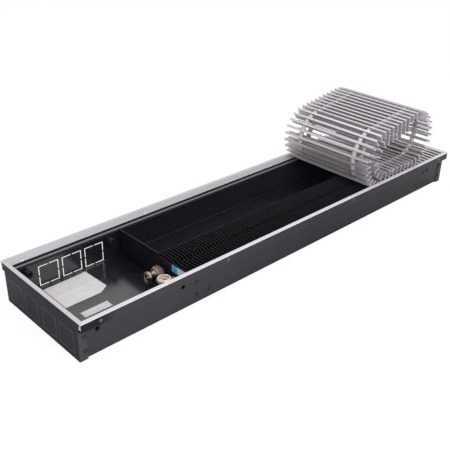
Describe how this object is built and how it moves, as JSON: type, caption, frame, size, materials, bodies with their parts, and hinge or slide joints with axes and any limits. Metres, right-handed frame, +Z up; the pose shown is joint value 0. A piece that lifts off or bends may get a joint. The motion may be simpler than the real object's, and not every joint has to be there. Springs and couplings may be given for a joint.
{
  "type": "trench convector heater",
  "caption": "Long low sheet-metal floor trench with a finned water heat exchanger, edge frame and a bar grille rolled up half way.",
  "frame": {"origin": "bottom centre of the bounding box, on the face the casing stands on", "axes": "+X along the casing towards the end covered by the flat grille, +Y from the front wall to the back wall, +Z up"},
  "size_m": [1, 0.241, 0.2018],
  "materials": {
    "sheet_black": "satin powder coat, near black",
    "frame_aluminium": "natural anodised",
    "rivet_steel": "bright",
    "tape_grey": "matt",
    "fin_black": "satin paint",
    "tube_copper": "satin paint over copper tube",
    "fitting_dark": "polished nickel, dark reflections",
    "fitting_nickel": "nickel-plated brass",
    "bush_black": "matt",
    "paper_white": "blank paper",
    "sticker_blue": "blank sticker, light blue and white",
    "bar_aluminium": "natural anodised, fine lengthwise grain",
    "sleeve_grey": "satin, light grey",
    "spring_steel": "bright wire"
  },
  "bodies": {
    "casing": {"trough": "sheet_black", "end_wall_left": "sheet_black", "end_wall_right": "sheet_black", "frame_front": "frame_aluminium", "frame_back": "frame_aluminium", "frame_left": "frame_aluminium", "frame_right": "frame_aluminium", "frame_rivets": "rivet_steel", "bearing_tape_front": "tape_grey", "bearing_tape_back": "tape_grey", "partition_left": "sheet_black", "partition_right": "sheet_black", "exchanger_fins": "fin_black", "exchanger_tubes": "tube_copper", "exchanger_saddles": "sheet_black", "rear_connector": "fitting_dark", "rear_union_nut": "fitting_nickel", "front_connector": "fitting_nickel", "front_union_nut": "fitting_nickel", "vent_cap": "fitting_nickel", "wall_bushes": "bush_black", "wall_rivets": "sheet_black", "floor_leaflet": "paper_white", "floor_label": "paper_white", "partition_sticker": "sticker_blue"},
    "vent_needle": {"vent_screw": "fitting_nickel"},
    "grille_mat": {"flat_bars": "bar_aluminium", "flat_sleeves": "sleeve_grey", "flat_springs": "spring_steel"},
    "bar_01": {"turn_bar_01": "bar_aluminium", "turn_link_01": "sleeve_grey"},
    "bar_02": {"turn_bar_02": "bar_aluminium", "turn_link_02": "sleeve_grey"},
    "bar_03": {"turn_bar_03": "bar_aluminium", "turn_link_03": "sleeve_grey"},
    "bar_04": {"turn_bar_04": "bar_aluminium", "turn_link_04": "sleeve_grey"},
    "bar_05": {"turn_bar_05": "bar_aluminium", "turn_link_05": "sleeve_grey"},
    "bar_06": {"turn_bar_06": "bar_aluminium", "turn_link_06": "sleeve_grey"},
    "bar_07": {"turn_bar_07": "bar_aluminium", "turn_link_07": "sleeve_grey"},
    "bar_08": {"turn_bar_08": "bar_aluminium", "turn_link_08": "sleeve_grey"},
    "bar_09": {"turn_bar_09": "bar_aluminium", "turn_link_09": "sleeve_grey"},
    "bar_10": {"turn_bar_10": "bar_aluminium", "turn_link_10": "sleeve_grey"},
    "bar_11": {"turn_bar_11": "bar_aluminium", "turn_link_11": "sleeve_grey"},
    "roll": {"roll_bars": "bar_aluminium", "roll_sleeves": "sleeve_grey", "roll_springs": "spring_steel"}
  },
  "joints": [
    {"name": "vent_turn", "type": "hinge", "parent": "casing", "child": "vent_needle", "pos_m": [-0.3025, -0.068, 0.044], "axis": [0, 0, 1], "range_deg": [0, 350]},
    {"name": "grille_lift", "type": "slide", "parent": "casing", "child": "grille_mat", "axis": [0, 0, 1], "range_m": [0, 0.15]},
    {"name": "grille_unroll", "type": "hinge", "parent": "grille_mat", "child": "bar_01", "pos_m": [0.245, 0, 0.0675], "axis": [0, -1, 0], "range_deg": [0, 14.33]},
    {"name": "grille_turn_02", "type": "hinge", "parent": "bar_01", "child": "bar_02", "pos_m": [0.23144, 0, 0.07097], "axis": [0, -1, 0], "range_deg": [0, 14.33]},
    {"name": "grille_turn_03", "type": "hinge", "parent": "bar_02", "child": "bar_03", "pos_m": [0.21915, 0, 0.07768], "axis": [0, -1, 0], "range_deg": [0, 14.33]},
    {"name": "grille_turn_04", "type": "hinge", "parent": "bar_03", "child": "bar_04", "pos_m": [0.20891, 0, 0.08723], "axis": [0, -1, 0], "range_deg": [0, 14.33]},
    {"name": "grille_turn_05", "type": "hinge", "parent": "bar_04", "child": "bar_05", "pos_m": [0.20136, 0, 0.09902], "axis": [0, -1, 0], "range_deg": [0, 14.33]},
    {"name": "grille_turn_06", "type": "hinge", "parent": "bar_05", "child": "bar_06", "pos_m": [0.19695, 0, 0.11231], "axis": [0, -1, 0], "range_deg": [0, 14.33]},
    {"name": "grille_turn_07", "type": "hinge", "parent": "bar_06", "child": "bar_07", "pos_m": [0.19598, 0, 0.12627], "axis": [0, -1, 0], "range_deg": [0, 14.33]},
    {"name": "grille_turn_08", "type": "hinge", "parent": "bar_07", "child": "bar_08", "pos_m": [0.19849, 0, 0.14004], "axis": [0, -1, 0], "range_deg": [0, 14.33]},
    {"name": "grille_turn_09", "type": "hinge", "parent": "bar_08", "child": "bar_09", "pos_m": [0.20433, 0, 0.15277], "axis": [0, -1, 0], "range_deg": [0, 14.33]},
    {"name": "grille_turn_10", "type": "hinge", "parent": "bar_09", "child": "bar_10", "pos_m": [0.21314, 0, 0.16365], "axis": [0, -1, 0], "range_deg": [0, 14.33]},
    {"name": "grille_turn_11", "type": "hinge", "parent": "bar_10", "child": "bar_11", "pos_m": [0.22437, 0, 0.17201], "axis": [0, -1, 0], "range_deg": [0, 14.33]},
    {"name": "grille_turn_12", "type": "hinge", "parent": "bar_11", "child": "roll", "pos_m": [0.23732, 0, 0.17733], "axis": [0, -1, 0], "range_deg": [0, 14.33]}
  ]
}
